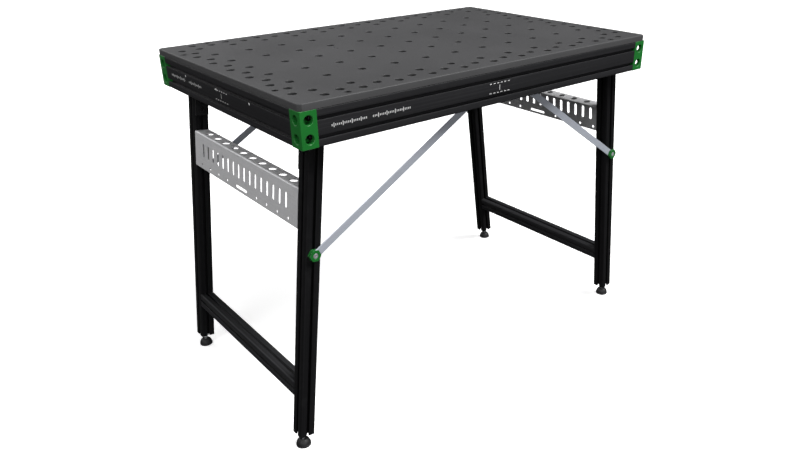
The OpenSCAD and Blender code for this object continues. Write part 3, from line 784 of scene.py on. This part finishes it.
def build_channel(side):
    """Bent sheet: a web with cut-outs, a shelf with ten holes, and a tab at each end."""
    s, node = SIDES[side], f"{side}_tool_channel"
    low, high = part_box(node)
    length = high.y - low.y
    pivot_z = joint[f"{side}_leg_fold"]["pos_m"][2]
    top = -(pivot_z - CHANNEL_Z) / math.cos(SPLAY)
    space = leg_space(side) @ shifted(s * UNIT / 2, 0, top)
    sheet_line = rounded([
        (0.0, -CHANNEL_H, SHEET_R), (SHEET, -CHANNEL_H, SHEET_R), (SHEET, -SHEET, BEND_R),
        (UNIT, -SHEET, SHEET_R), (UNIT, 0.0, SHEET_R), (0.0, 0.0, BEND_R + SHEET),
    ], 8)
    bm = bmesh.new()
    along = space @ axes((0, -length / 2, 0), (-s, 0, 0), (0, 0, 1), (0, 1, 0))
    plate(bm, along, [(sheet_line, rim_rows(length, SHEET_EDGE))])
    obj = link(f"{node}_sheet", bm, finishes["channel_sheet"])
    tabs, holes = bmesh.new(), bmesh.new()
    for e in ENDS.values():
        inside = axes((0, e * (length / 2 - SHEET), 0), (-s, 0, 0), (0, 0, 1), (0, e, 0))
        middle = TAB_W / 2 + TAB_AT, -TAB_DOWN - TAB_H / 2
        outline = square(*middle, TAB_W / 2, TAB_H / 2, TAB_R)
        plate(tabs, space @ inside, [(outline, [(0.0, 0.0), (0.0, SHEET)])])
        for down in TAB_BOLTS:
            at = space @ inside @ shifted(UNIT / 2, -down * MM, 0)
            loft(holes, at, lathe(TAB_BORE), 32)
    for i in range(SHELF_HOLES):
        at = shifted(-s * UNIT / 2, (i - (SHELF_HOLES - 1) / 2) * SHELF_PITCH, 0)
        loft(holes, space @ at, lathe(SHELF_BORE), 48)
    through = space @ axes((MM * s, 0, -CHANNEL_H), (0, 1, 0), (0, 0, 1), (-s, 0, 0))
    rows = [(0.0, 0.0), (0.0, SHEET + 2 * MM)]
    cuts = [
        pill((i - (VENTS - 1) / 2) * VENT_PITCH, VENT_UP, VENT_W, VENT_H) for i in range(VENTS)
    ]
    for e in (-1, 1):
        for i in range(WEB_HOLES):
            cuts.append(ring_points(e * (WEB_FROM + WEB_PITCH * i), LOW_ROW, WEB_HOLE_R, 32))
    cuts.append(pill(0.0, LOW_ROW, LONG_W, LONG_H))
    for outline in cuts:
        plate(holes, through, [(outline, rows)])
    carve(obj, ("UNION", tabs), ("DIFFERENCE", holes))
    stand_for(obj, node)


# ---------- braces and their bosses ----------

BRACE_HALF_W, EYE_R, SLEEVE_R, BOLT_R = (v * MM for v in (9.5, 11, 5.05, 4.05))
BAR_EDGE, EYE_EDGE = 0.5 * MM, 0.2 * MM
# Chamfers of a hexagon start at its shade radius, and slope up or down from there
BOSS_BORE, SLEEVE, HEX_R, HEX_SHADE = (v * MM for v in (4.1, 5, 15, 13.6))
HEX_UP, HEX_DOWN = 0.5, -0.9
SINK_RIM, SINK_R, SINK_EDGE, SINK = (v * MM for v in (7.4, 6.6, 0.6, 2.4))
GAP = 0.4 * MM
# In millimetres: head and key of the screw in a boss, how far its shank passes the leg's face,
# how deep its nut starts, and the nut's half width, half length, corner, edge and height
BOSS_HEAD, BOSS_KEY, SHANK_PAST = (6.4, 2.3), (2.9, 2.1), 11
SLOT_NUT_DOWN, SLOT_NUT = 8.8, (6.5, 8, 1.2, 0.4, 4.2)


def build_brace(side, end):
    """Flat bar with an eye at each end, from the leg's boss to its slider."""
    node = f"{side}_{end}_brace"
    low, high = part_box(node)
    x, _, z = joint[f"{node}_turn"]["pos_m"]
    boss = Vector((x, 0, z))
    along = Vector(((low.x + high.x) / 2, 0, (low.z + high.z) / 2)) - boss
    length = 2 * along.length
    along.normalize()
    neck = math.asin(BRACE_HALF_W / EYE_R)
    outline = list(arc((length, 0), EYE_R, neck - math.pi, math.pi - neck, 24))
    outline += arc((0, 0), EYE_R, neck, TURN - neck, 24)
    thick = high.y - low.y
    space = axes((boss.x, low.y, boss.z), along, Vector((0, -1, 0)).cross(along), (0, 1, 0))
    eye_rows = rim_rows(thick, EYE_EDGE, outer=False)
    bm = bmesh.new()
    plate(bm, space, [
        (outline, rim_rows(thick, BAR_EDGE)),
        (ring_points(0, 0, SLEEVE_R, 32), eye_rows),
        (ring_points(length, 0, BOLT_R, 32), eye_rows),
    ])
    stand_for(link(f"{node}_bar", bm, finishes["brace_bar"]), node)


def build_bosses(side):
    """Green hexagonal bosses: a sleeve and a counterbored cap, and a spacer too on the left."""
    node = f"{side}_brace_bosses"
    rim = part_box(node)[1].y
    leg_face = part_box(f"{side}_back_leg")[1].y
    brace_low, brace_high = (corner.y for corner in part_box(f"{side}_back_brace"))
    cap = brace_high + GAP
    sleeve_end, spacer_end = cap - GAP / 8, brace_low - GAP
    bm = bmesh.new()
    for end in ENDS:
        at = boss_space(side, end)
        loft(bm, at, [
            circle(BOSS_BORE, leg_face), circle(SLEEVE, leg_face),
            circle(SLEEVE, sleeve_end), circle(BOSS_BORE, sleeve_end),
        ], closed=True)
        if side == "left":
            loft(bm, at, [
                circle(BOSS_BORE + MM, leg_face), hexagon(HEX_R, leg_face),
                hexagon(HEX_R, spacer_end), circle(BOSS_BORE + MM, spacer_end),
            ], closed=True)
        loft(bm, at, [
            circle(BOSS_BORE, cap), hexagon(HEX_R, cap, HEX_SHADE),
            hexagon(HEX_R, cap, HEX_SHADE, HEX_UP), hexagon(HEX_R, rim, HEX_SHADE, HEX_DOWN),
            hexagon(HEX_R, rim, HEX_SHADE), circle(SINK_RIM, rim),
            circle(SINK_R, rim - SINK_EDGE), circle(SINK_R, rim - SINK),
            circle(BOSS_BORE, rim - SINK),
        ], closed=True)
    stand_for(link(f"{node}_hex", bm, finishes["green_boss"]), node)


# ---------- feet ----------

BALL_R, SOCKET_R, NECK_L, NECK_EDGE, THREAD_R = (v * MM for v in (6, 6.08, 13, 0.6, 5.2))
THREAD_TOP, THREAD_PITCH, THREAD_DEPTH = (v * MM for v in (46, 1.5, 0.8))
NUT_H, NUT_BORE, NUT_R, NUT_SHADE, NUT_EDGE = (v * MM for v in (6, 5.25, 9.8, 8.7, 0.6))
NUT_UP, NUT_DOWN = 0.6, -0.6
# The base from its rim up to its mouth, and the stud, as (radius, height) pairs in millimetres
RIM = [(18.2, 0), (18.8, 0.25), (19, 1), (19, 4.1), (18.7, 4.7), (18.1, 5.0), (18.0, 5.4)]
MOUTH_LIP = [(8.8, 20), (7.9, 20), (7.4, 19.8), (7.2, 19.4), (5.6, 13.0), (5.5, 12.6)]
NECK = [(4, 4.8), (4, 12.2)]
STUD_TOP = [(5.2, 46.5), (5.2, 83.2), (4.4, 84)]
# Where the dome starts and how far it goes in and up to its lip, in millimetres, and the power
# that makes its shoulder fuller or flatter
DOME_R, DOME_Z, DOME_IN, DOME_UP, DOME_POWER = 18.0, 5.4, 8.8, 14.3, 1.8
# Where the rings of the socket and of the ball start, and their steps, in degrees
SOCKET_FROM, SOCKET_STEP, BALL_FROM, BALL_STEP = 25, -14, -88, 11.3


def dome(steps):
    """The rounded shoulder between the rim and the lip."""
    for i in range(1, steps + 1):
        a = math.pi / 2 * i / (steps + 1)
        inward = DOME_IN * (1 - math.cos(a) ** DOME_POWER)
        yield DOME_R - inward, DOME_Z + DOME_UP * math.sin(a)


def thread(start, end, pitch, radius, depth):
    """Rings of a screw thread: each reads the angle, and it fades in and out over one turn."""
    per_turn = 6
    count = round((end - start) / pitch * per_turn)
    for i in range(count + 1):
        z = start + (end - start) * i / count
        fade = min(1.0, i / per_turn, (count - i) / per_turn)

        def ring(angle, z=z, fade=fade):
            phase = (z / pitch - angle / TURN) % 1.0
            return radius - depth * fade * abs(2 * phase - 1), z

        yield ring


def build_foot(side, end):
    """The moulded base with its ball socket, and the ball-ended stud that stands in it."""
    ball = Vector(joint[f"{side}_{end}_foot_swivel"]["pos_m"])
    rings = lathe(RIM + list(dome(12)) + MOUTH_LIP)
    for step in range(1, 9):
        a = math.radians(SOCKET_FROM + step * SOCKET_STEP)
        rings.append(circle(SOCKET_R * math.cos(a), ball.z + SOCKET_R * math.sin(a)))
    bm = bmesh.new()
    loft(bm, shifted(ball.x, ball.y, 0), rings, 64)
    base = link(f"{side}_{end}_foot_dome", bm, finishes["foot_base"], 40.0)
    stand_for(base, f"{side}_{end}_foot_base")
    rings = []
    for step in range(13):
        a = math.radians(BALL_FROM + step * BALL_STEP)
        rings.append(circle(BALL_R * math.cos(a), BALL_R * math.sin(a)))
    rings += lathe(NECK) + [circle(THREAD_R - NECK_EDGE, NECK_L)]
    rings += thread(NECK_L + NECK_EDGE, THREAD_TOP, THREAD_PITCH, THREAD_R, THREAD_DEPTH)
    rings += lathe(STUD_TOP)
    bm = bmesh.new()
    loft(bm, Matrix.Translation(ball) @ lean(side), rings, 32)
    stud = link(f"{side}_{end}_threaded_stud", bm, finishes["bright_fastener"], 50.0)
    stand_for(stud, f"{side}_{end}_foot_stud")


def build_brace_bolts(side):
    """Bright cap screw in each boss, and the nut in the leg's slot that it pulls on."""
    node = f"{side}_brace_bolts"
    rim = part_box(f"{side}_brace_bosses")[1].y / MM
    leg_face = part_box(f"{side}_back_leg")[1].y / MM
    seat = rim - SINK / MM
    shank = (4.0, seat - leg_face + SHANK_PAST)
    half_w, half_l, corner, edge, nut_h = (v * MM for v in SLOT_NUT)
    outline = square(0, 0, half_w, half_l, corner)
    bm = bmesh.new()
    for end in ENDS:
        at = boss_space(side, end)
        socket_screw(bm, at @ shifted(0, 0, seat * MM), BOSS_HEAD, shank, BOSS_KEY)
        plate(bm, at @ shifted(0, 0, (leg_face - SLOT_NUT_DOWN) * MM), [
            (outline, rim_rows(nut_h, edge)),
            (ring_points(0, 0, BOSS_BORE, 24), [(0.0, 0.0), (0.0, nut_h)]),
        ])
    stand_for(link(f"{node}_screws", bm, finishes["bright_fastener"]), node)


def build_foot_nuts(side):
    """A chamfered lock nut on each stud, against the leg's end."""
    bm = bmesh.new()
    for end in ENDS:
        ball = Vector(joint[f"{side}_{end}_foot_swivel"]["pos_m"])
        top = (LEG_END_Z - ball.z) / math.cos(SPLAY)
        low = top - NUT_H
        loft(bm, Matrix.Translation(ball) @ lean(side), [
            circle(NUT_BORE, low + NUT_EDGE), circle(NUT_BORE + NUT_EDGE, low),
            hexagon(NUT_R, low, NUT_SHADE), hexagon(NUT_R, low, NUT_SHADE, NUT_UP),
            hexagon(NUT_R, top, NUT_SHADE, NUT_DOWN), hexagon(NUT_R, top, NUT_SHADE),
            circle(NUT_BORE, top),
        ], closed=True)
    nuts = link(f"{side}_foot_lock_nuts", bm, finishes["bright_fastener"])
    stand_for(nuts, f"{side}_foot_nuts")


build_panel()
build_rails()
build_legs()
build_corners()
for side_name in SIDES:
    build_channel(side_name)
    build_bosses(side_name)
    build_brace_bolts(side_name)
    build_foot_nuts(side_name)
    for end_name in ENDS:
        build_brace(side_name, end_name)
        build_foot(side_name, end_name)


# ---------- carried-over CAD nodes ----------

# Width of the rounding on the edges of steel plates, and on those of all else
STEEL_EDGE, EDGE = 0.6 * MM, 0.3 * MM
for name, obj in nodes.items():
    if obj.hide_render:
        continue
    obj.data.materials.clear()
    obj.data.materials.append(finish_for(name))
    weld = obj.modifiers.new("weld", "WELD")
    weld.merge_threshold = 1e-6
    flat = obj.modifiers.new("join flat faces", "DECIMATE")
    flat.decimate_type = "DISSOLVE"
    flat.angle_limit = math.radians(0.5)
    bevel = obj.modifiers.new("round edges", "BEVEL")
    bevel.width = STEEL_EDGE if slot_of[name] == "black_steel" else EDGE
    bevel.segments = 2
    bevel.limit_method = "ANGLE"
    bevel.angle_limit = math.radians(35)
    even = obj.modifiers.new("even shading", "WEIGHTED_NORMAL")
    even.keep_sharp = False


# ---------- studio ----------

FLOOR_R, BOWL_R, SKY_H = 12.0, 4.0, 12.0
FLOOR_GLOW, WORLD_GLOW = 0.62, 0.05
FLOOR_Z = -0.3 * MM
# Strength, angle across in degrees, and the direction in which the light goes
SUNS = {
    "key": (3.5, 24.0, (-0.46, 0.44, -0.77)),
    "fill": (1.18, 35.0, (0.74, 0.35, -0.574)),
    "front": (0.75, 25.0, (0.15, 0.95, -0.26)),
    "back": (1.1, 50.0, (0.22, -0.8, -0.56)),
}


def build_floor():
    """A round floor that turns up at its edge into a tall pale wall, seen only by the camera."""
    rings = [circle(r, FLOOR_Z) for r in (0.5, 3.0, FLOOR_R)]
    for step in range(1, 13):
        a = math.pi / 2 * step / 12
        rings.append(circle(FLOOR_R + BOWL_R * math.sin(a), FLOOR_Z + BOWL_R * (1 - math.cos(a))))
    rings.append(circle(FLOOR_R + BOWL_R, SKY_H))
    bm = bmesh.new()
    loft(bm, Matrix(), rings, 96)
    # The last cap would close the wall's top
    bm.faces.ensure_lookup_table()
    bm.faces.remove(bm.faces[-1])
    p = Paint("studio_floor", specular=0.2)
    tint = p.blend(p.noise(1.5, 3.0), (0.8, 0.8, 0.8), (0.84, 0.84, 0.84))
    rough = p.band(p.noise(3.0), 0.3, 0.7, 0.8, 0.9)
    p.surface.inputs["Emission Color"].default_value = (1.0, 1.0, 1.0, 1.0)
    p.surface.inputs["Emission Strength"].default_value = FLOOR_GLOW
    floor = link("studio_floor", bm, p.finish(tint, rough, p.noise(40.0), 0.0001))
    # The pale floor lights and mirrors in nothing, so undersides and dark faces keep their depth
    floor.visible_diffuse = False
    floor.visible_glossy = False
    floor.visible_shadow = False


def sun(name, strength, spread, towards):
    """A broad sun. Its spread is in degrees."""
    data = bpy.data.lights.new(name, "SUN")
    data.energy = strength
    data.angle = math.radians(spread)
    lamp = bpy.data.objects.new(name, data)
    lamp.rotation_euler = Vector(towards).to_track_quat("-Z", "Y").to_euler()
    bpy.context.scene.collection.objects.link(lamp)


def build_world(strength):
    world = bpy.data.worlds.new("studio")
    world.use_nodes = True
    back = world.node_tree.nodes["Background"]
    back.inputs["Color"].default_value = (1.0, 1.0, 1.0, 1.0)
    back.inputs["Strength"].default_value = strength
    bpy.context.scene.world = world


def build_camera():
    """A camera a little above the panel, in front of the table and to its left."""
    data = bpy.data.cameras.new("camera")
    data.lens = 32.15
    data.sensor_width = 36.0
    data.shift_x = -0.0378
    data.shift_y = 0.0355
    data.clip_end = 100.0
    camera = bpy.data.objects.new("camera", data)
    camera.location = (-1.2329, -1.5988, 1.2640)
    camera.rotation_euler = [math.radians(a) for a in (62.947, 0.467, -39.395)]
    bpy.context.scene.collection.objects.link(camera)
    bpy.context.scene.camera = camera


build_floor()
build_world(WORLD_GLOW)
for lamp_name, settings in SUNS.items():
    sun(lamp_name, *settings)
build_camera()
bpy.context.scene.view_settings.view_transform = "Standard"
bpy.context.scene.view_settings.look = "None"
